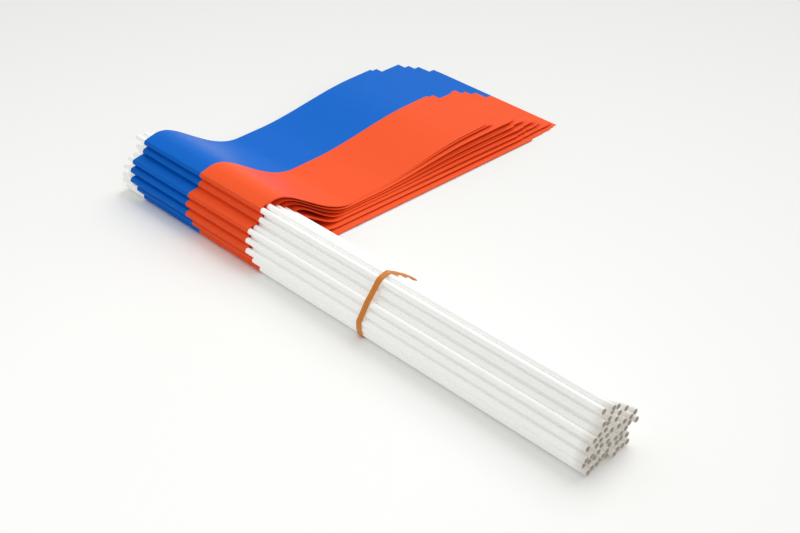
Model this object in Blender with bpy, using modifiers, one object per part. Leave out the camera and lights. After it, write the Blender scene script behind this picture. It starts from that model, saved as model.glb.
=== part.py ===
"""A banded bundle of two-striped paper hand flags, lying on its side.

Each flag is a hollow plastic stick and one paper sheet whose hoist edge is glued round it. The sheets leave
the bundle to the right (+X), come down to the surface and lie in one stack. A rubber band holds the sticks.

Axes: +X along the flags' fly, +Y along the sticks towards their tips, +Z up.
Origin: on the resting surface, in the middle of the lowest sheet.
"""

import math
import random
from collections import namedtuple

import bmesh
import bpy

# Stick
STICK_LENGTH = 0.400
STICK_RADIUS = 0.00195
STICK_WALL = 0.00035
SIDES = 12  # sides of a stick, and of the paper wound on it
TIP_LENGTH = 0.010  # bare stick above the paper

# Paper sheet
HOIST = 0.120
FLY = 0.240  # from the stick to the free edge
PAPER = 0.00008
GLUE = 0.00005  # between stick and paper
SEAM_SIDES = 1  # sides of the stick that the glued turn leaves open at its seam
WIND_GAP = 0.00003  # between two turns of paper

# Bundle: sticks in rows, from the lowest row up
BUNDLE_X = -0.140
Row = namedtuple("Row", "sticks left turns")  # left: of the bundle's axis, in stick widths
ROWS = (
    Row(9, 4.75, 0),
    Row(9, 5.00, 0),
    Row(10, 5.05, 1),
    Row(9, 4.25, 1),
    Row(7, 3.50, 1),
    Row(4, 1.55, 1),
    Row(2, 0.90, 2),
)
SIDE_GAP = 0.00012  # between two sleeves of a row
ROW_GAP = 0.00010  # between a row and the one above it
EVERY_INNER_STICK = 4  # one inner stick in this many is modelled, and every outer one

# How the sheets lie
LEAVE_GAP = 0.00008  # between two sheets where they leave the bundle
STACK_GAP = 0.000035  # between two sheets in the stack
DROP_LEAD = 0.0014  # from a row's last stick to where its sheets start down
LOW_DROP_STICKS = 11.3  # where the lowest row's sheets are down, from the bundle's axis, in stick widths
TOP_DROP_STICKS = 18.4
DROP_SKEW = 0.87  # below 1, a sheet falls sooner
HUMP_START = 0.092
HUMP_TOP = 0.180
HUMP_HEIGHT = 0.0078  # lift of the top sheet at its free edge
HUMP_SPREAD = 1.8  # above 1, the lower rows lift less
ROW_FAN = 0.25  # share of a row's lift that fans its own sheets
INNER_STEP = 0.005
DROP_STEP = 0.0065
STACK_STEP = 0.0145

# Slips along the sticks
LOW_SLIP = -0.012  # of the lowest row's sheets, against the top row's
MIDDLE_SLIP = 0.0065  # of the middle row's sheets, on top of its share of the lowest row's
LOW_STICK_SLIP = -0.002
LOW_SKEW = -0.030  # drift along the sticks, per length of sheet
MIDDLE_SKEW = -0.0285
SLIP_SCATTER = 0.0015
SKEW_SCATTER = 0.004
SEED = 11

# Rubber band
BAND_Y = -0.165
BAND_WIDTH = 0.0040
BAND_THICKNESS = 0.0009
BAND_CLEARANCE = 0.0001
BAND_BEVEL = 0.00025

STICK_WHITE = (0.90, 0.90, 0.88)
STRIPE_BLUE = (0.006, 0.132, 0.660)
STRIPE_RED = (0.930, 0.092, 0.025)
RUBBER_AMBER = (0.560, 0.200, 0.030)

LEAVE_PITCH = PAPER + LEAVE_GAP
STACK_PITCH = PAPER + STACK_GAP
STICK_WIDTH = 2 * STICK_RADIUS
LOW_DROP_END = LOW_DROP_STICKS * STICK_WIDTH
TOP_DROP_END = TOP_DROP_STICKS * STICK_WIDTH
STEP_ANGLE = 2 * math.pi / SIDES
HALF_STEP = STEP_ANGLE / 2
SLEEVE_SIDES = SIDES - SEAM_SIDES
STICK_FLAT = STICK_RADIUS * math.cos(HALF_STEP)  # axis to the middle of a side
BAND_FLAT = (STICK_RADIUS + BAND_CLEARANCE) * math.cos(HALF_STEP)

Flag = namedtuple("Flag", "row index order x z tilt slip stick_slip skew")


def wind_growth(turns):
    """How much further out each corner of the wound paper lies than the one before."""
    return (PAPER + WIND_GAP) / SIDES if turns else 0.0


def sleeve_flat(turns):
    """From the stick's axis to the outside of the paper wound on it."""
    corners = SLEEVE_SIDES + SIDES * turns
    return STICK_FLAT + GLUE + PAPER + corners * wind_growth(turns)


SLEEVE_FLATS = [sleeve_flat(row.turns) for row in ROWS]
PITCHES = [2 * flat + SIDE_GAP for flat in SLEEVE_FLATS]
LOWEST_SUPPORT = BAND_FLAT + BAND_THICKNESS - SLEEVE_FLATS[0]


def row_left(r):
    return -ROWS[r].left * STICK_WIDTH


def row_right(r):
    return row_left(r) + (ROWS[r].sticks - 1) * PITCHES[r]


def sheets_at(r, u):
    """How many of the row's sheets lie over the stick at u, counted smoothly from 0."""
    return min(max((u - row_left(r)) / PITCHES[r], 0.0), ROWS[r].sticks - 1)


def support(r, u):
    """Height of what row r lies on, at u from the bundle's axis."""
    height = LOWEST_SUPPORT
    for below in range(r):
        thickness = 2 * SLEEVE_FLATS[below] + sheets_at(below, u) * LEAVE_PITCH + ROW_GAP
        height += thickness / math.cos(math.atan(row_slope(below, u)))
    return height


def row_slope(r, u):
    """Slope of what row r lies on: each row below it grows by one sheet a stick."""
    spans = [b for b in range(r) if row_left(b) < u < row_right(b)]
    return sum(LEAVE_PITCH / PITCHES[b] for b in spans)


def smooth(t):
    t = min(max(t, 0.0), 1.0)
    return t * t * (3 - 2 * t)


def drop_start(r):
    return row_right(r) + DROP_LEAD


def drop_end(r):
    return LOW_DROP_END + (TOP_DROP_END - LOW_DROP_END) * r / (len(ROWS) - 1)


def drop(r, u):
    """0 where the row's sheets leave the bundle, 1 where they lie in the stack."""
    t = min(max((u - drop_start(r)) / (drop_end(r) - drop_start(r)), 0.0), 1.0)
    return smooth(t**DROP_SKEW)


def leave_height(flag, u):
    """Height of the middle of the flag's sheet over its own row."""
    above = sheets_at(flag.row, u) - flag.index
    over = 2 * SLEEVE_FLATS[flag.row] - PAPER / 2 + above * LEAVE_PITCH
    return support(flag.row, u) + over / math.cos(math.atan(row_slope(flag.row, u)))


def stack_height(flag, u):
    """Height of the middle of the flag's sheet in the stack, with the hump at its free end."""
    last = ROWS[flag.row].sticks - 1
    level = (flag.row + ROW_FAN * (last - flag.index) / last) / (len(ROWS) - 1 + ROW_FAN)
    lift = HUMP_HEIGHT * smooth((u - HUMP_START) / (HUMP_TOP - HUMP_START))
    return PAPER / 2 + flag.order * STACK_PITCH + lift * level**HUMP_SPREAD


def sheet_height(flag, u):
    down = drop(flag.row, u)
    return (1 - down) * leave_height(flag, u) + down * stack_height(flag, u)


def stations(start, end, step):
    count = max(1, round((end - start) / step))
    return [start + (end - start) * n / count for n in range(1, count + 1)]


def free_stations(flag):
    """Places along u where the free sheet has a crease line."""
    r = flag.row
    over = [row_left(r) + n * PITCHES[r] for n in range(flag.index + 1, ROWS[r].sticks)]
    shoulder = max(drop_start(r) for r in range(len(ROWS)))
    stack = TOP_DROP_END
    return (
        over
        + stations(row_right(r), shoulder, INNER_STEP)
        + stations(shoulder, stack, DROP_STEP)
        + stations(stack, stack + FLY, STACK_STEP)
    )


def wound_profile(flag):
    """Corners of the glued turns, from the seam to where the sheet leaves the stick's top."""
    turns = ROWS[flag.row].turns
    corners = SLEEVE_SIDES + SIDES * turns
    leaving = math.pi / 2 - HALF_STEP + flag.tilt
    points = []
    for n in range(corners + 1):
        flat = STICK_FLAT + GLUE + PAPER / 2 + n * wind_growth(turns)
        angle = leaving + (corners - n) * STEP_ANGLE
        radius = flat / math.cos(HALF_STEP)
        points.append((flag.x + radius * math.cos(angle), flag.z + radius * math.sin(angle)))
    return points


def free_length(flag):
    """What the extra turns leave of the sheet."""
    turn = 2 * SIDES * (STICK_FLAT + GLUE + PAPER) * math.tan(HALF_STEP)
    return FLY - ROWS[flag.row].turns * turn


def sheet_profile(flag):
    """The sheet's section across the sticks, as (x, z, length along the free sheet)."""
    free = free_length(flag)
    wound = wound_profile(flag)
    points = [(x, z, 0.0) for x, z in wound]
    x, z, length = points[-1]
    for u in free_stations(flag):
        next_x = BUNDLE_X + u
        next_z = sheet_height(flag, u)
        step = math.hypot(next_x - x, next_z - z)
        share = min(1.0, (free - length) / step)
        x, z = x + (next_x - x) * share, z + (next_z - z) * share
        length += step * share
        points.append((x, z, length))
        if share < 1.0:
            break
    return points


def all_flags():
    """Every flag of the bundle, the lowest sheet first."""
    random_slip = random.Random(SEED)
    flags = []
    for r, row in enumerate(ROWS):
        low = 1 - r / (len(ROWS) - 1)
        middle = 4 * low * (1 - low)
        row_slip = low * LOW_SLIP + middle * MIDDLE_SLIP
        row_skew = low * LOW_SKEW + middle * MIDDLE_SKEW
        for index in reversed(range(row.sticks)):
            u = row_left(r) + index * PITCHES[r]
            tilt = math.atan(row_slope(r, u))
            lift = SLEEVE_FLATS[r]
            flags.append(
                Flag(
                    row=r,
                    index=index,
                    order=len(flags),
                    x=BUNDLE_X + u - lift * math.sin(tilt),
                    z=support(r, u) + lift * math.cos(tilt),
                    tilt=tilt,
                    slip=row_slip + random_slip.uniform(-SLIP_SCATTER, SLIP_SCATTER),
                    stick_slip=low * LOW_STICK_SLIP + random_slip.uniform(-SLIP_SCATTER, SLIP_SCATTER),
                    skew=row_skew + random_slip.uniform(-SKEW_SCATTER, SKEW_SCATTER),
                )
            )
    return flags


def is_modelled(flag):
    """The outer flags, and a few from the inside of the bundle."""
    outer_row = flag.row in (0, len(ROWS) - 1)
    row_end = flag.index in (0, ROWS[flag.row].sticks - 1)
    return outer_row or row_end or (flag.row + flag.index) % EVERY_INNER_STICK == 0


def plain_material(name, colour, roughness):
    material = bpy.data.materials.new(name)
    material.use_nodes = True
    shader = material.node_tree.nodes["Principled BSDF"]
    shader.inputs["Base Color"].default_value = (*colour, 1.0)
    shader.inputs["Roughness"].default_value = roughness
    shader.inputs["Metallic"].default_value = 0.0
    return material


def stick_material():
    return plain_material("white_plastic", STICK_WHITE, 0.42)


def band_material():
    return plain_material("amber_rubber", RUBBER_AMBER, 0.55)


def paper_material():
    """Blue above the sheet's middle, red below it. A sheet's origin is at the middle of its hoist."""
    material = plain_material("printed_paper", STRIPE_RED, 0.48)
    nodes = material.node_tree.nodes
    links = material.node_tree.links
    place = nodes.new("ShaderNodeTexCoord")
    split = nodes.new("ShaderNodeSeparateXYZ")
    above = nodes.new("ShaderNodeMath")
    above.operation = "GREATER_THAN"
    above.inputs[1].default_value = 0.0
    stripes = nodes.new("ShaderNodeMix")
    stripes.data_type = "RGBA"
    stripes.inputs["A"].default_value = (*STRIPE_RED, 1.0)
    stripes.inputs["B"].default_value = (*STRIPE_BLUE, 1.0)
    links.new(place.outputs["Object"], split.inputs[0])
    links.new(split.outputs["Y"], above.inputs[0])
    links.new(above.outputs[0], stripes.inputs["Factor"])
    links.new(stripes.outputs["Result"], nodes["Principled BSDF"].inputs["Base Color"])
    return material


def new_collection(name):
    collection = bpy.data.collections.new(name)
    bpy.context.scene.collection.children.link(collection)
    return collection


def add_object(name, mesh, collection, location=(0.0, 0.0, 0.0)):
    obj = bpy.data.objects.new(name, mesh)
    obj.location = location
    collection.objects.link(obj)
    return obj


def strip_mesh(name, profile, closed):
    """An open sheet along Y. profile holds (x, z, high y, low y) at each crease line."""
    bm = bmesh.new()
    high = [bm.verts.new((x, top, z)) for x, z, top, low in profile]
    low = [bm.verts.new((x, low, z)) for x, z, top, low in profile]
    for n in range(len(profile) if closed else len(profile) - 1):
        m = (n + 1) % len(profile)
        bm.faces.new((high[n], low[n], low[m], high[m]))
    mesh = bpy.data.meshes.new(name)
    bm.to_mesh(mesh)
    bm.free()
    mesh.shade_smooth()
    return mesh


def thicken(obj, thickness, offset):
    solid = obj.modifiers.new("Thickness", "SOLIDIFY")
    solid.thickness = thickness
    solid.offset = offset
    solid.use_even_offset = True


def stick_mesh():
    """The section of the tube's wall, which the Screw on each stick turns about the stick's axis."""
    bm = bmesh.new()
    inner = STICK_RADIUS - STICK_WALL
    corners = ((STICK_RADIUS, 0.0), (STICK_RADIUS, -STICK_LENGTH), (inner, -STICK_LENGTH), (inner, 0.0))
    verts = [bm.verts.new((x, 0.0, z)) for x, z in corners]
    for n, vert in enumerate(verts):
        bm.edges.new((vert, verts[(n + 1) % len(verts)]))
    mesh = bpy.data.meshes.new("stick_wall")
    bm.to_mesh(mesh)
    bm.free()
    return mesh


def tip_y(flag):
    return HOIST / 2 + TIP_LENGTH + flag.stick_slip


def make_stick(name, flag, mesh, collection):
    """A tube from its tip down, with a side facing its row's support."""
    stick = add_object(name, mesh, collection, (flag.x, tip_y(flag), flag.z))
    stick.rotation_euler = (-math.pi / 2, -(HALF_STEP + flag.tilt), 0.0)
    screw = stick.modifiers.new("Turn", "SCREW")
    screw.axis = "Z"
    screw.angle = 2 * math.pi
    screw.steps = SIDES
    screw.render_steps = SIDES
    screw.use_merge_vertices = False
    screw.use_smooth_shade = True


def make_sheet(name, flag, material, collection):
    """The paper: wound on its stick, then free to its fly edge."""
    place = (flag.x, flag.slip, flag.z)
    profile = [
        (x - flag.x, z - flag.z, HOIST / 2 + flag.skew * length, -HOIST / 2 + flag.skew * length)
        for x, z, length in sheet_profile(flag)
    ]
    mesh = strip_mesh(name, profile, closed=False)
    mesh.materials.append(material)
    thicken(add_object(name, mesh, collection, place), PAPER, 0.0)


def stick_corners(flag, radius):
    turn = flag.tilt + HALF_STEP
    angles = [turn + n * STEP_ANGLE for n in range(SIDES)]
    return [(flag.x + radius * math.cos(a), flag.z + radius * math.sin(a)) for a in angles]


def hull(points):
    """Corners of the tightest loop round the points, anticlockwise."""

    def half(ordered):
        kept = []
        for p in ordered:
            while len(kept) > 1 and turn_of(kept[-2], kept[-1], p) <= 0:
                kept.pop()
            kept.append(p)
        return kept[:-1]

    ordered = sorted(points)
    return half(ordered) + half(ordered[::-1])


def turn_of(a, b, c):
    return (b[0] - a[0]) * (c[1] - a[1]) - (b[1] - a[1]) * (c[0] - a[0])


def make_band(flags, collection):
    """A stretched rubber band, straight from stick to stick."""
    corners = [c for flag in flags for c in stick_corners(flag, STICK_RADIUS + BAND_CLEARANCE)]
    middle_x = BUNDLE_X
    middle_z = sum(z for x, z in corners) / len(corners)
    half_width = BAND_WIDTH / 2
    profile = [(x - middle_x, z - middle_z, half_width, -half_width) for x, z in hull(corners)]
    mesh = strip_mesh("rubber_band", profile, closed=True)
    mesh.materials.append(band_material())
    band = add_object("rubber_band", mesh, collection, (middle_x, BAND_Y, middle_z))
    thicken(band, BAND_THICKNESS, -1.0)
    bevel = band.modifiers.new("Edges", "BEVEL")
    bevel.width = BAND_BEVEL
    bevel.segments = 1
    bevel.limit_method = "ANGLE"
    bevel.angle_limit = math.radians(60)


def clear_scene():
    for obj in list(bpy.data.objects):
        bpy.data.objects.remove(obj, do_unlink=True)


def main():
    clear_scene()
    collection = new_collection("hand_flag_bundle")
    flags = all_flags()
    wall = stick_mesh()
    wall.materials.append(stick_material())
    paper = paper_material()
    for number, flag in enumerate(filter(is_modelled, flags), start=1):
        make_stick(f"stick_{number:02d}", flag, wall, collection)
        make_sheet(f"paper_{number:02d}", flag, paper, collection)
    make_band(flags, collection)


main()
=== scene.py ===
"""The looks of a banded bundle of two-striped paper hand flags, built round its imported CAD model.

Each flag is a round plastic tube and a thin printed sheet, finer than its CAD solids and in the same place.
The inner flags that the CAD model leaves out are added between the others. Metres, +Z up, the CAD's frame.
"""

import math
import random
from collections import namedtuple

import bmesh
import bpy
from mathutils import Matrix, Vector


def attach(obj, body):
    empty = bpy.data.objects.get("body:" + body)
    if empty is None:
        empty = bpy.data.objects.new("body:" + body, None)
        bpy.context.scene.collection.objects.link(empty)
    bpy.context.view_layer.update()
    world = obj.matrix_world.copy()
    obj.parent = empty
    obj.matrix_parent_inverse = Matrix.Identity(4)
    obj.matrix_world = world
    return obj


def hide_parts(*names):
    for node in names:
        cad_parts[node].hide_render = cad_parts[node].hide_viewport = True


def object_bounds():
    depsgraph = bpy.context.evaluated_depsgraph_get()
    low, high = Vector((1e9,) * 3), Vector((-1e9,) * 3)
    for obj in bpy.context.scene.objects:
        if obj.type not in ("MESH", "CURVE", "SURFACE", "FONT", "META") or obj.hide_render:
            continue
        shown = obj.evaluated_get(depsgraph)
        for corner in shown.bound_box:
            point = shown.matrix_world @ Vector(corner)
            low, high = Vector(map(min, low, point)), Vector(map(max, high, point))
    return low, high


# The design, as in the CAD source
STICK_LENGTH = 0.400
STICK_RADIUS = 0.00195
STICK_WALL = 0.00035
SIDES = 12
TIP_LENGTH = 0.010
HOIST = 0.120
FLY = 0.240
PAPER = 0.00008
GLUE = 0.00005
SEAM_SIDES = 1
WIND_GAP = 0.00003
BUNDLE_X = -0.140
Row = namedtuple("Row", "sticks left turns")  # left: of the bundle's axis, in stick widths
ROWS = (
    Row(9, 4.75, 0),
    Row(9, 5.00, 0),
    Row(10, 5.05, 1),
    Row(9, 4.25, 1),
    Row(7, 3.50, 1),
    Row(4, 1.55, 1),
    Row(2, 0.90, 2),
)
SIDE_GAP = 0.00012
ROW_GAP = 0.00010
EVERY_INNER_STICK = 4
LEAVE_GAP = 0.00008
STACK_GAP = 0.000035
DROP_LEAD = 0.0014
LOW_DROP_STICKS = 11.3
TOP_DROP_STICKS = 18.4
DROP_SKEW = 0.87
HUMP_START = 0.092
HUMP_TOP = 0.180
HUMP_HEIGHT = 0.0078
HUMP_SPREAD = 1.8
ROW_FAN = 0.25
LOW_SLIP = -0.012
MIDDLE_SLIP = 0.0065
LOW_STICK_SLIP = -0.002
LOW_SKEW = -0.030
MIDDLE_SKEW = -0.0285
SLIP_SCATTER = 0.0015
SKEW_SCATTER = 0.004
SEED = 11
BAND_Y = -0.165
BAND_WIDTH = 0.0040
BAND_THICKNESS = 0.0009
BAND_CLEARANCE = 0.0001

# What only the looks have
ROOT = "flag_01"  # the body that the added inner flags ride on
TUBE_RADIUS = 0.00193
TUBE_SIDES = 32
TUBE_ROUNDING = 0.00008
WOUND_GAP = 0.00001  # between the round tube and its paper
WOUND_STEPS = 36  # to a turn
DROP_STEP = 0.0025
STACK_STEP = 0.0045
BAND_CORNER = 0.0003

# The camera: where it stands, and where it looks, in degrees
CAMERA_AT = (-0.6107, -0.6600, 0.5084)
CAMERA_DOWN = 34.43
CAMERA_TURN = 45.78  # from +X towards +Y
CAMERA_ROLL = -0.26
LENS_MM = 65.0
SENSOR_MM = 36.0

# Lights: a soft key from the right and behind, in a sky that is dimmer to the left
KEY_FROM = (1.1, 0.35, 1.25)
KEY_STRENGTH = 1.16
KEY_ANGLE = math.radians(38)
SKY_BRIGHT_SIDE = (0.31, 0.05, 0.95)
SKY_DIM = 0.25
SKY_BRIGHT = 0.88
FLOOR_SIZE = 8.0
FLOOR_LIT_MIDDLE = (-0.26, -0.16, 0.0)
FLOOR_SHADE_START = 0.12  # from the lit middle to where painted shade starts to darken the table
FLOOR_SHADE_END = 0.90

LEAVE_PITCH = PAPER + LEAVE_GAP
STACK_PITCH = PAPER + STACK_GAP
STICK_WIDTH = 2 * STICK_RADIUS
LOW_DROP_END = LOW_DROP_STICKS * STICK_WIDTH
TOP_DROP_END = TOP_DROP_STICKS * STICK_WIDTH
STEP_ANGLE = 2 * math.pi / SIDES
HALF_STEP = STEP_ANGLE / 2
SLEEVE_SIDES = SIDES - SEAM_SIDES
STICK_FLAT = STICK_RADIUS * math.cos(HALF_STEP)
BAND_FLAT = (STICK_RADIUS + BAND_CLEARANCE) * math.cos(HALF_STEP)

Flag = namedtuple("Flag", "row index order x z tilt slip stick_slip skew")


# ---- the section of the bundle, as in the CAD source ----


def wind_growth(turns):
    return (PAPER + WIND_GAP) / SIDES if turns else 0.0


def sleeve_flat(turns):
    """From the stick's axis to the outside of the paper wound on it."""
    corners = SLEEVE_SIDES + SIDES * turns
    return STICK_FLAT + GLUE + PAPER + corners * wind_growth(turns)


SLEEVE_FLATS = [sleeve_flat(row.turns) for row in ROWS]
PITCHES = [2 * flat + SIDE_GAP for flat in SLEEVE_FLATS]
LOWEST_SUPPORT = BAND_FLAT + BAND_THICKNESS - SLEEVE_FLATS[0]


def row_left(r):
    return -ROWS[r].left * STICK_WIDTH


def row_right(r):
    return row_left(r) + (ROWS[r].sticks - 1) * PITCHES[r]


def sheets_at(r, u):
    """How many of the row's sheets lie over the stick at u, counted smoothly from 0."""
    return min(max((u - row_left(r)) / PITCHES[r], 0.0), ROWS[r].sticks - 1)


def support(r, u):
    """Height of what row r lies on, at u from the bundle's axis."""
    height = LOWEST_SUPPORT
    for below in range(r):
        thickness = 2 * SLEEVE_FLATS[below] + sheets_at(below, u) * LEAVE_PITCH + ROW_GAP
        height += thickness / math.cos(math.atan(row_slope(below, u)))
    return height


def row_slope(r, u):
    spans = [b for b in range(r) if row_left(b) < u < row_right(b)]
    return sum(LEAVE_PITCH / PITCHES[b] for b in spans)


def smooth(t):
    t = min(max(t, 0.0), 1.0)
    return t * t * (3 - 2 * t)


def drop_start(r):
    return row_right(r) + DROP_LEAD


def drop_end(r):
    return LOW_DROP_END + (TOP_DROP_END - LOW_DROP_END) * r / (len(ROWS) - 1)


def drop(r, u):
    """0 where the row's sheets leave the bundle, 1 where they lie in the stack."""
    t = min(max((u - drop_start(r)) / (drop_end(r) - drop_start(r)), 0.0), 1.0)
    return smooth(t**DROP_SKEW)


def leave_height(flag, u):
    above = sheets_at(flag.row, u) - flag.index
    over = 2 * SLEEVE_FLATS[flag.row] - PAPER / 2 + above * LEAVE_PITCH
    return support(flag.row, u) + over / math.cos(math.atan(row_slope(flag.row, u)))


def stack_height(flag, u):
    """Height of the middle of the flag's sheet in the stack, with the hump at its free end."""
    last = ROWS[flag.row].sticks - 1
    level = (flag.row + ROW_FAN * (last - flag.index) / last) / (len(ROWS) - 1 + ROW_FAN)
    lift = HUMP_HEIGHT * smooth((u - HUMP_START) / (HUMP_TOP - HUMP_START))
    return PAPER / 2 + flag.order * STACK_PITCH + lift * level**HUMP_SPREAD


def sheet_height(flag, u):
    down = drop(flag.row, u)
    return (1 - down) * leave_height(flag, u) + down * stack_height(flag, u)


def all_flags():
    """Every flag of the bundle, the lowest sheet first."""
    random_slip = random.Random(SEED)
    flags = []
    for r, row in enumerate(ROWS):
        low = 1 - r / (len(ROWS) - 1)
        middle = 4 * low * (1 - low)
        row_slip = low * LOW_SLIP + middle * MIDDLE_SLIP
        row_skew = low * LOW_SKEW + middle * MIDDLE_SKEW
        for index in reversed(range(row.sticks)):
            u = row_left(r) + index * PITCHES[r]
            tilt = math.atan(row_slope(r, u))
            lift = SLEEVE_FLATS[r]
            flags.append(
                Flag(
                    row=r,
                    index=index,
                    order=len(flags),
                    x=BUNDLE_X + u - lift * math.sin(tilt),
                    z=support(r, u) + lift * math.cos(tilt),
                    tilt=tilt,
                    slip=row_slip + random_slip.uniform(-SLIP_SCATTER, SLIP_SCATTER),
                    stick_slip=low * LOW_STICK_SLIP + random_slip.uniform(-SLIP_SCATTER, SLIP_SCATTER),
                    skew=row_skew + random_slip.uniform(-SKEW_SCATTER, SKEW_SCATTER),
                )
            )
    return flags


def is_modelled(flag):
    """Whether the CAD model has the flag."""
    outer_row = flag.row in (0, len(ROWS) - 1)
    row_end = flag.index in (0, ROWS[flag.row].sticks - 1)
    return outer_row or row_end or (flag.row + flag.index) % EVERY_INNER_STICK == 0


# ---- materials ----


class Nodes:
    """A material's node tree, with its Principled shader."""

    def __init__(self, name):
        self.material = bpy.data.materials.new(name)
        self.material.use_nodes = True
        self.tree = self.material.node_tree
        self.shader = self.tree.nodes["Principled BSDF"]

    def add(self, kind, settings=None, inputs=None):
        node = self.tree.nodes.new(kind)
        for key, value in (settings or {}).items():
            setattr(node, key, value)
        for key, value in (inputs or {}).items():
            self.feed(node, key, value)
        return node

    def feed(self, node, key, value):
        """Sets an input to a number, or links another node's output to it."""
        if isinstance(value, bpy.types.NodeSocket):
            self.tree.links.new(value, node.inputs[key])
        else:
            node.inputs[key].default_value = value

    def math(self, operation, a, b=0.0):
        return self.add("ShaderNodeMath", {"operation": operation}, {0: a, 1: b}).outputs[0]

    def place(self, stretch=(1.0, 1.0, 1.0)):
        """The point's place on the object, in metres, times a stretch."""
        coordinates = self.add("ShaderNodeTexCoord")
        inputs = {"Vector": coordinates.outputs["Object"], "Scale": stretch}
        mapping = self.add("ShaderNodeMapping", {}, inputs)
        return mapping.outputs[0]

    def noise(self, vector, scale, detail=3.0, roughness=0.5):
        inputs = {"Vector": vector, "Scale": scale, "Detail": detail, "Roughness": roughness}
        return self.add("ShaderNodeTexNoise", {}, inputs).outputs[0]

    def spread(self, value, low, high):
        """value, from 0 to 1, spread from low to high."""
        node = self.add("ShaderNodeMapRange", {}, {"Value": value, "To Min": low, "To Max": high})
        return node.outputs[0]

    def mix(self, factor, a, b, blend="MIX"):
        node = self.add("ShaderNodeMix", {"data_type": "RGBA", "blend_type": blend})
        self.feed(node, "Factor", factor)
        for key, value in (("A", a), ("B", b)):
            socket = next(s for s in node.inputs if s.name == key and s.type == "RGBA")
            if isinstance(value, bpy.types.NodeSocket):
                self.tree.links.new(value, socket)
            else:
                socket.default_value = (*value, 1.0)
        return next(s for s in node.outputs if s.type == "RGBA")

    def ridge(self, value, place, width):
        """1 where value is at place, falling to 0 a width away."""
        away = self.math("ABSOLUTE", self.math("SUBTRACT", value, place))
        return self.math("MAXIMUM", self.math("SUBTRACT", 1.0, self.math("DIVIDE", away, width)))

    def bump(self, height, distance, strength=1.0):
        inputs = {"Height": height, "Distance": distance, "Strength": strength}
        return self.add("ShaderNodeBump", {}, inputs).outputs[0]

    def shade(self, **values):
        for key, value in values.items():
            self.feed(self.shader, key.replace("_", " "), value)
        return self.material


INK_BLUE = (0.0010, 0.146, 0.640)
INK_BLUE_DEEP = (0.0008, 0.134, 0.605)
INK_RED = (0.965, 0.112, 0.028)
INK_RED_DEEP = (0.940, 0.098, 0.021)
WOUND_CREASES = ((-0.0262, 0.0028), (-0.0115, 0.0018))  # along the sheet and half width, in hoists
CREASE_SHADE = 0.35
CREASE_DEPTH = 6.0
GRIP_SHADE_START = -0.3235  # where painted shade over the grip ends starts, along Y
GRIP_SHADE_END = -0.3345
TUBE_GLOW = 0.10


def printed_paper():
    """Coated paper printed with two stripes, which meet at the middle of the hoist."""
    n = Nodes("printed_paper")
    flat = n.add("ShaderNodeUVMap", {"uv_map": "flat"}).outputs[0]
    across = n.add("ShaderNodeSeparateXYZ", {}, {0: flat}).outputs["Y"]
    fibres = n.noise(flat, 900.0, 4.0, 0.6)
    print_edge = n.math("ADD", across, n.spread(fibres, -0.0012, 0.0012))
    is_blue = n.math("GREATER_THAN", print_edge, 0.5)
    mottle = n.noise(flat, 22.0, 5.0, 0.65)
    grain = n.noise(flat, 260.0, 2.0)
    blue = n.mix(mottle, INK_BLUE, INK_BLUE_DEEP)
    red = n.mix(mottle, INK_RED, INK_RED_DEEP)
    ink = n.mix(is_blue, red, blue)
    along = n.add("ShaderNodeSeparateXYZ", {}, {0: flat}).outputs["X"]
    creases = [n.ridge(along, place, width) for place, width in WOUND_CREASES]
    crease = n.math("MAXIMUM", creases[0], creases[1])
    # painted shade: the wound creases are darkened towards near black
    shaded = n.mix(n.math("MULTIPLY", crease, CREASE_SHADE), ink, (0.0, 0.0, 0.02))
    fine = n.math("ADD", fibres, n.math("MULTIPLY", grain, 0.5))
    surface = n.math("SUBTRACT", fine, n.math("MULTIPLY", crease, CREASE_DEPTH))
    return n.shade(
        Base_Color=shaded,
        Roughness=n.spread(mottle, 0.36, 0.48),
        Normal=n.bump(surface, 0.00001, 0.35),
        Specular_IOR_Level=0.06,
    )


def white_plastic():
    """Extruded tube: faint lines along it, a slightly uneven wall, and painted shade darkening the grip
    ends.

    The faint emission stands in for light that comes through the thin wall.
    """
    n = Nodes("white_plastic")
    lines = n.noise(n.place((1.0, 0.02, 1.0)), 2600.0, 2.0)
    cloud = n.noise(n.place((1.0, 0.25, 1.0)), 90.0, 3.0)
    clean = n.mix(cloud, (0.990, 0.991, 0.980), (0.975, 0.977, 0.962))
    along = n.add("ShaderNodeSeparateXYZ", {}, {0: n.place()}).outputs["Y"]
    ends = {"From Min": GRIP_SHADE_START, "From Max": GRIP_SHADE_END}
    # painted shade: the tube turns beige grey over its last centimetre at the grip end
    painted_grip_shade = n.add("ShaderNodeMapRange", {}, {"Value": along, **ends}).outputs[0]
    colour = n.mix(painted_grip_shade, clean, (0.58, 0.53, 0.47))
    return n.shade(
        Base_Color=colour,
        Roughness=n.spread(lines, 0.30, 0.44),
        Normal=n.bump(lines, 0.00001, 0.3),
        IOR=1.49,
        Emission_Color=(1.0, 1.0, 0.97, 1.0),
        Emission_Strength=TUBE_GLOW,
    )


def cut_plastic_painted_shade():
    """The rough face where a tube was cut, also used in its bore; its beige grey is painted shade of the
    hollow ends.
    """
    n = Nodes("cut_plastic_painted_shade")
    saw = n.noise(n.place(), 5200.0, 3.0)
    shade_mottle = n.noise(n.place(), 700.0, 2.0)
    # painted shade: two beige greys, mottled, stand in for the shade in the cut ends and the bore
    colour = n.mix(shade_mottle, (0.70, 0.64, 0.57), (0.52, 0.46, 0.40))
    return n.shade(Base_Color=colour, Roughness=0.6, Normal=n.bump(saw, 0.00003, 0.6), IOR=1.49)


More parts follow.
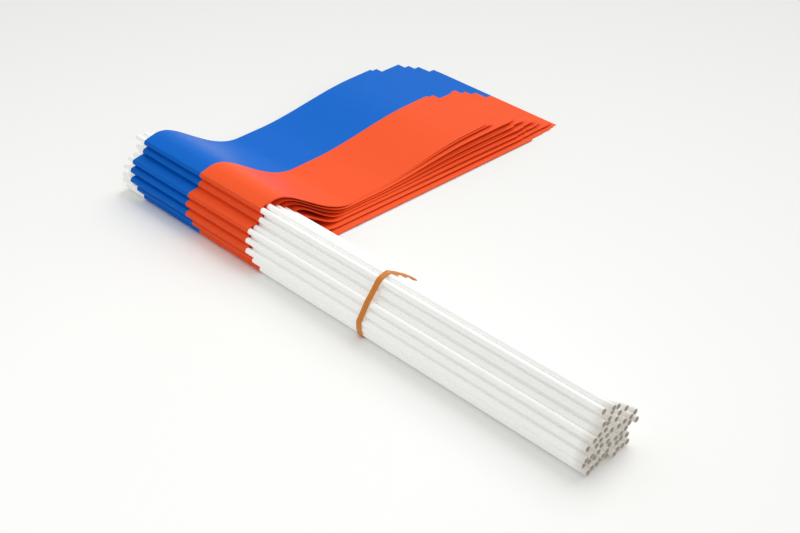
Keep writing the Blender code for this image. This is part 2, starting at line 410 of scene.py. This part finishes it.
def amber_rubber():
    """Natural rubber: clear amber, with cloudy bloom and fine slitting marks along the cut sides."""
    n = Nodes("amber_rubber")
    cloud = n.noise(n.place(), 420.0, 4.0, 0.6)
    grain = n.noise(n.place(), 3800.0, 2.0)
    colour = n.mix(cloud, (0.76, 0.270, 0.022), (0.60, 0.180, 0.012))
    return n.shade(
        Base_Color=colour,
        Roughness=n.spread(cloud, 0.36, 0.52),
        Normal=n.bump(grain, 0.00002, 0.5),
        IOR=1.52,
        Subsurface_Weight=0.35,
        Subsurface_Radius=(1.0, 0.42, 0.12),
        Subsurface_Scale=0.0012,
    )


def floor_material():
    n = Nodes("white_table")
    place = n.place()
    cloud = n.noise(place, 3.0, 2.0)
    offset = n.add("ShaderNodeVectorMath", {"operation": "DISTANCE"}, {0: place, 1: FLOOR_LIT_MIDDLE})
    ends = {"From Min": FLOOR_SHADE_START, "From Max": FLOOR_SHADE_END}
    # painted shade: the table darkens away from its lit middle, standing in for the light falling off
    painted_floor_shade = n.add("ShaderNodeMapRange", {}, {"Value": offset.outputs["Value"], **ends}).outputs[0]
    near = n.mix(cloud, (0.950, 0.953, 0.940), (0.940, 0.943, 0.930))
    return n.shade(Base_Color=n.mix(painted_floor_shade, near, (0.68, 0.68, 0.672)), Roughness=0.6)


# ---- pieces ----


def add_piece(name, mesh, body):
    obj = bpy.data.objects.new(name, mesh)
    bpy.context.scene.collection.objects.link(obj)
    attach(obj, body)
    return obj


def solid_mesh(name, bm, thickness):
    """The open sheet in bm, thickened evenly about its middle, as a mesh."""
    mesh = bpy.data.meshes.new(name)
    bm.to_mesh(mesh)
    bm.free()
    helper = bpy.data.objects.new(name + "_helper", mesh)
    bpy.context.scene.collection.objects.link(helper)
    solid = helper.modifiers.new("Thickness", "SOLIDIFY")
    solid.thickness = thickness
    solid.offset = 0.0
    solid.use_even_offset = True
    graph = bpy.context.evaluated_depsgraph_get()
    thick = bpy.data.meshes.new_from_object(helper.evaluated_get(graph))
    bpy.data.objects.remove(helper)
    bpy.data.meshes.remove(mesh)
    thick.name = name
    thick.shade_smooth()
    thick.set_sharp_from_angle(angle=math.radians(40))
    return thick


def stations(start, end, step):
    count = max(1, round((end - start) / step))
    return [start + (end - start) * n / count for n in range(1, count + 1)]


def free_stations(flag):
    r = flag.row
    halves = range(2 * flag.index + 1, 2 * ROWS[r].sticks - 1)
    over = [row_left(r) + n * PITCHES[r] / 2 for n in halves]
    return (
        over
        + stations(row_right(r), TOP_DROP_END, DROP_STEP)
        + stations(TOP_DROP_END, TOP_DROP_END + FLY, STACK_STEP)
    )


def wound_profile(flag):
    """The glued turns round the tube, from the seam to where the sheet leaves the tube's top."""
    sweep = (SLEEVE_SIDES + SIDES * ROWS[flag.row].turns) * STEP_ANGLE
    steps = round(sweep / (2 * math.pi) * WOUND_STEPS)
    leaving = math.pi / 2 + flag.tilt
    growth = (PAPER + WIND_GAP) / (2 * math.pi)
    top = SLEEVE_FLATS[flag.row] - PAPER / 2
    points = []
    for n in range(steps + 1):
        back = sweep * (1 - n / steps)
        radius = min(TUBE_RADIUS + WOUND_GAP + PAPER / 2 + growth * (sweep - back), top)
        angle = leaving + back
        points.append((flag.x + radius * math.cos(angle), flag.z + radius * math.sin(angle)))
    return points


def free_length(flag):
    """What the extra turns leave of the sheet."""
    turn = 2 * SIDES * (STICK_FLAT + GLUE + PAPER) * math.tan(HALF_STEP)
    return FLY - ROWS[flag.row].turns * turn


def sheet_profile(flag):
    """The sheet's section across the sticks, as (x, z, length along the free sheet)."""
    free = free_length(flag)
    wound = wound_profile(flag)
    points = []
    length = 0.0
    for here, there in zip(wound, wound[1:]):
        length -= math.dist(here, there)
    for here, there in zip(wound, wound[1:]):
        points.append((*here, length))
        length += math.dist(here, there)
    x, z = wound[-1]
    length = 0.0
    points.append((x, z, length))
    for u in free_stations(flag):
        next_x = BUNDLE_X + u
        next_z = sheet_height(flag, u)
        step = math.hypot(next_x - x, next_z - z)
        share = min(1.0, (free - length) / step)
        x, z = x + (next_x - x) * share, z + (next_z - z) * share
        length += step * share
        points.append((x, z, length))
        if share < 1.0:
            break
    return points


def sheet_mesh(name, flag):
    """The flag's sheet. Its map, flat, holds the place on the uncut sheet, in hoists."""
    bm = bmesh.new()
    flat = bm.loops.layers.uv.new("flat")
    place = {}
    lines = []
    for x, z, length in sheet_profile(flag):
        line = []
        for across in (HOIST / 2, 0.0, -HOIST / 2):
            drift = flag.skew * max(length, 0.0)
            vert = bm.verts.new((x, flag.slip + drift + across, z))
            place[vert] = (length / HOIST, across / HOIST + 0.5)
            line.append(vert)
        lines.append(line)
    for here, there in zip(lines, lines[1:]):
        for n in range(len(here) - 1):
            face = bm.faces.new((here[n], here[n + 1], there[n + 1], there[n]))
            for loop in face.loops:
                loop[flat].uv = place[loop.vert]
    return solid_mesh(name, bm, PAPER)


def tube_profile():
    """The tube's wall, as (radius, distance from the tip), with its cut edges broken."""
    inner = TUBE_RADIUS - STICK_WALL
    b = TUBE_ROUNDING
    end = STICK_LENGTH
    return [
        (inner + b, 0.0),
        (TUBE_RADIUS - b, 0.0),
        (TUBE_RADIUS, b),
        (TUBE_RADIUS, end - b),
        (TUBE_RADIUS - b, end),
        (inner + b, end),
        (inner, end - b),
        (inner, b),
    ]


CUT_FACES = (0, 4)  # of the tube's profile
BORE_FACES = (5, 6, 7)


def add_tube(bm, flag):
    tip = HOIST / 2 + TIP_LENGTH + flag.stick_slip
    profile = tube_profile()
    rings = []
    for n in range(TUBE_SIDES):
        angle = 2 * math.pi * n / TUBE_SIDES
        ring = [
            bm.verts.new((flag.x + r * math.cos(angle), tip - along, flag.z + r * math.sin(angle)))
            for r, along in profile
        ]
        rings.append(ring)
    for n, ring in enumerate(rings):
        following = rings[(n + 1) % TUBE_SIDES]
        for k in range(len(profile)):
            m = (k + 1) % len(profile)
            face = bm.faces.new((ring[k], ring[m], following[m], following[k]))
            # the cut ends and the bore take the cut plastic, whose beige grey is painted shade
            face.material_index = 1 if k in CUT_FACES + BORE_FACES else 0


def tube_mesh(name, flags):
    bm = bmesh.new()
    for flag in flags:
        add_tube(bm, flag)
    bmesh.ops.recalc_face_normals(bm, faces=bm.faces)
    mesh = bpy.data.meshes.new(name)
    bm.to_mesh(mesh)
    bm.free()
    mesh.shade_smooth()
    mesh.set_sharp_from_angle(angle=math.radians(50))
    return mesh


def stick_corners(flag, radius):
    turn = flag.tilt + HALF_STEP
    angles = [turn + n * STEP_ANGLE for n in range(SIDES)]
    return [(flag.x + radius * math.cos(a), flag.z + radius * math.sin(a)) for a in angles]


def turn_of(a, b, c):
    return (b[0] - a[0]) * (c[1] - a[1]) - (b[1] - a[1]) * (c[0] - a[0])


def hull(points):
    """Corners of the tightest loop round the points, anticlockwise."""

    def half(ordered):
        kept = []
        for p in ordered:
            while len(kept) > 1 and turn_of(kept[-2], kept[-1], p) <= 0:
                kept.pop()
            kept.append(p)
        return kept[:-1]

    ordered = sorted(points)
    return half(ordered) + half(ordered[::-1])


def even_loop(points, step):
    """Points a step apart along the closed loop."""
    loop = [Vector(p) for p in points]
    sides = [(a, b, (b - a).length) for a, b in zip(loop, loop[1:] + loop[:1])]
    total = sum(length for a, b, length in sides)
    count = round(total / step)
    places = [total * n / count for n in range(count)]
    made = []
    start = 0.0
    for a, b, length in sides:
        made += [a.lerp(b, (s - start) / length) for s in places if start <= s < start + length]
        start += length
    return made


def band_section():
    """A slit rubber strip's section with broken corners, as (out, along the sticks)."""
    half = BAND_WIDTH / 2
    c = BAND_CORNER
    t = BAND_THICKNESS
    return [
        (0.0, half - c),
        (c, half),
        (t - c, half),
        (t, half - c),
        (t, c - half),
        (t - c, -half),
        (c, -half),
        (0.0, c - half),
    ]


def rubber_band(flags, material):
    """The band: a strip that follows the outer sticks, drifting a little along them."""
    corners = [c for flag in flags for c in stick_corners(flag, STICK_RADIUS + BAND_CLEARANCE)]
    loop = even_loop(hull(corners), 0.0011)
    section = band_section()
    count = len(loop)
    bm = bmesh.new()
    rings = []
    for n, here in enumerate(loop):
        along = (loop[(n + 1) % count] - loop[n - 1]).normalized()
        out = Vector((along.y, -along.x))
        turn = 2 * math.pi * n / count
        drift = 0.0006 * math.sin(turn + 0.6) + 0.00025 * math.sin(3 * turn)
        ring = []
        for height, side in section:
            p = here + out * height
            ring.append(bm.verts.new((p.x, BAND_Y + drift + side, p.y)))
        rings.append(ring)
    for n, ring in enumerate(rings):
        following = rings[(n + 1) % count]
        for k in range(len(section)):
            m = (k + 1) % len(section)
            bm.faces.new((ring[k], following[k], following[m], ring[m]))
    bmesh.ops.recalc_face_normals(bm, faces=bm.faces)
    mesh = bpy.data.meshes.new("rubber_band_strip")
    bm.to_mesh(mesh)
    bm.free()
    mesh.shade_smooth()
    mesh.set_sharp_from_angle(angle=math.radians(50))
    mesh.materials.append(material)
    band = add_piece("rubber_band_strip", mesh, "band")
    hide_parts("rubber_band")


def make_sheet(name, flag, body, material):
    mesh = sheet_mesh(name, flag)
    mesh.materials.append(material)
    sheet = add_piece(name, mesh, body)
    return sheet


def make_tubes(name, flags, body, materials):
    mesh = tube_mesh(name, flags)
    for material in materials:
        mesh.materials.append(material)
    return add_piece(name, mesh, body)


def make_flags(flags):
    paper = printed_paper()
    plastic = (white_plastic(), cut_plastic_painted_shade())
    number = 0
    inner = [flag for flag in flags if not is_modelled(flag)]
    inner_tubes = make_tubes("inner_sticks", inner, ROOT, plastic)
    for flag in flags:
        if is_modelled(flag):
            number += 1
            body = f"flag_{number:02d}"
            tube = make_tubes(f"tube_{number:02d}", [flag], body, plastic)
            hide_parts(f"stick_{number:02d}")
            sheet = make_sheet(f"sheet_{number:02d}", flag, body, paper)
            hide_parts(f"paper_{number:02d}")
        else:
            name = f"inner_sheet_{inner.index(flag) + 1:02d}"
            sheet = make_sheet(name, flag, ROOT, paper)


# ---- stage ----


def make_floor():
    bpy.ops.mesh.primitive_plane_add(size=FLOOR_SIZE)
    floor = bpy.context.object
    floor.name = "table"
    floor.location.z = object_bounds()[0].z - 0.00002
    floor.data.materials.append(floor_material())


def make_key():
    key = bpy.data.lights.new("key", "SUN")
    key.energy = KEY_STRENGTH
    key.angle = KEY_ANGLE
    obj = bpy.data.objects.new("key", key)
    obj.rotation_euler = (-Vector(KEY_FROM)).to_track_quat("-Z", "Y").to_euler()
    bpy.context.scene.collection.objects.link(obj)


def make_sky():
    sky = bpy.data.worlds.new("soft_white")
    sky.use_nodes = True
    nodes = sky.node_tree.nodes
    links = sky.node_tree.links
    side = nodes.new("ShaderNodeVectorMath")
    side.operation = "DOT_PRODUCT"
    side.inputs[1].default_value = SKY_BRIGHT_SIDE
    strength = nodes.new("ShaderNodeMapRange")
    strength.inputs["From Min"].default_value = -1.0
    strength.inputs["To Min"].default_value = SKY_DIM
    strength.inputs["To Max"].default_value = SKY_BRIGHT
    links.new(nodes.new("ShaderNodeTexCoord").outputs["Generated"], side.inputs[0])
    links.new(side.outputs["Value"], strength.inputs["Value"])
    back = nodes["Background"]
    back.inputs["Color"].default_value = (1.0, 1.0, 0.985, 1.0)
    links.new(strength.outputs[0], back.inputs["Strength"])
    bpy.context.scene.world = sky


def make_camera():
    data = bpy.data.cameras.new("camera")
    data.lens = LENS_MM
    data.sensor_width = SENSOR_MM
    data.clip_start = 0.05
    camera = bpy.data.objects.new("camera", data)
    camera.location = CAMERA_AT
    turned = Matrix.Rotation(math.radians(CAMERA_TURN - 90), 4, "Z")
    tilted = Matrix.Rotation(math.radians(90 - CAMERA_DOWN), 4, "X")
    rolled = Matrix.Rotation(math.radians(CAMERA_ROLL), 4, "Z")
    camera.rotation_euler = (turned @ tilted @ rolled).to_euler()
    bpy.context.scene.collection.objects.link(camera)
    bpy.context.scene.camera = camera


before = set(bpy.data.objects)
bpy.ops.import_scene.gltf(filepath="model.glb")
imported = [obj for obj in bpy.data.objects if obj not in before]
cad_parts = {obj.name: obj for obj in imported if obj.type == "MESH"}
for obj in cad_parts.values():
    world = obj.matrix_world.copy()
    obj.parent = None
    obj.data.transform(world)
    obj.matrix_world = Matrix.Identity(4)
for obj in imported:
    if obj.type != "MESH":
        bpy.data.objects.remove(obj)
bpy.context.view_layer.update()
bundle = all_flags()
make_camera()
make_sky()
make_key()
make_flags(bundle)
rubber_band(bundle, amber_rubber())
make_floor()
bpy.context.scene.view_settings.view_transform = "Standard"
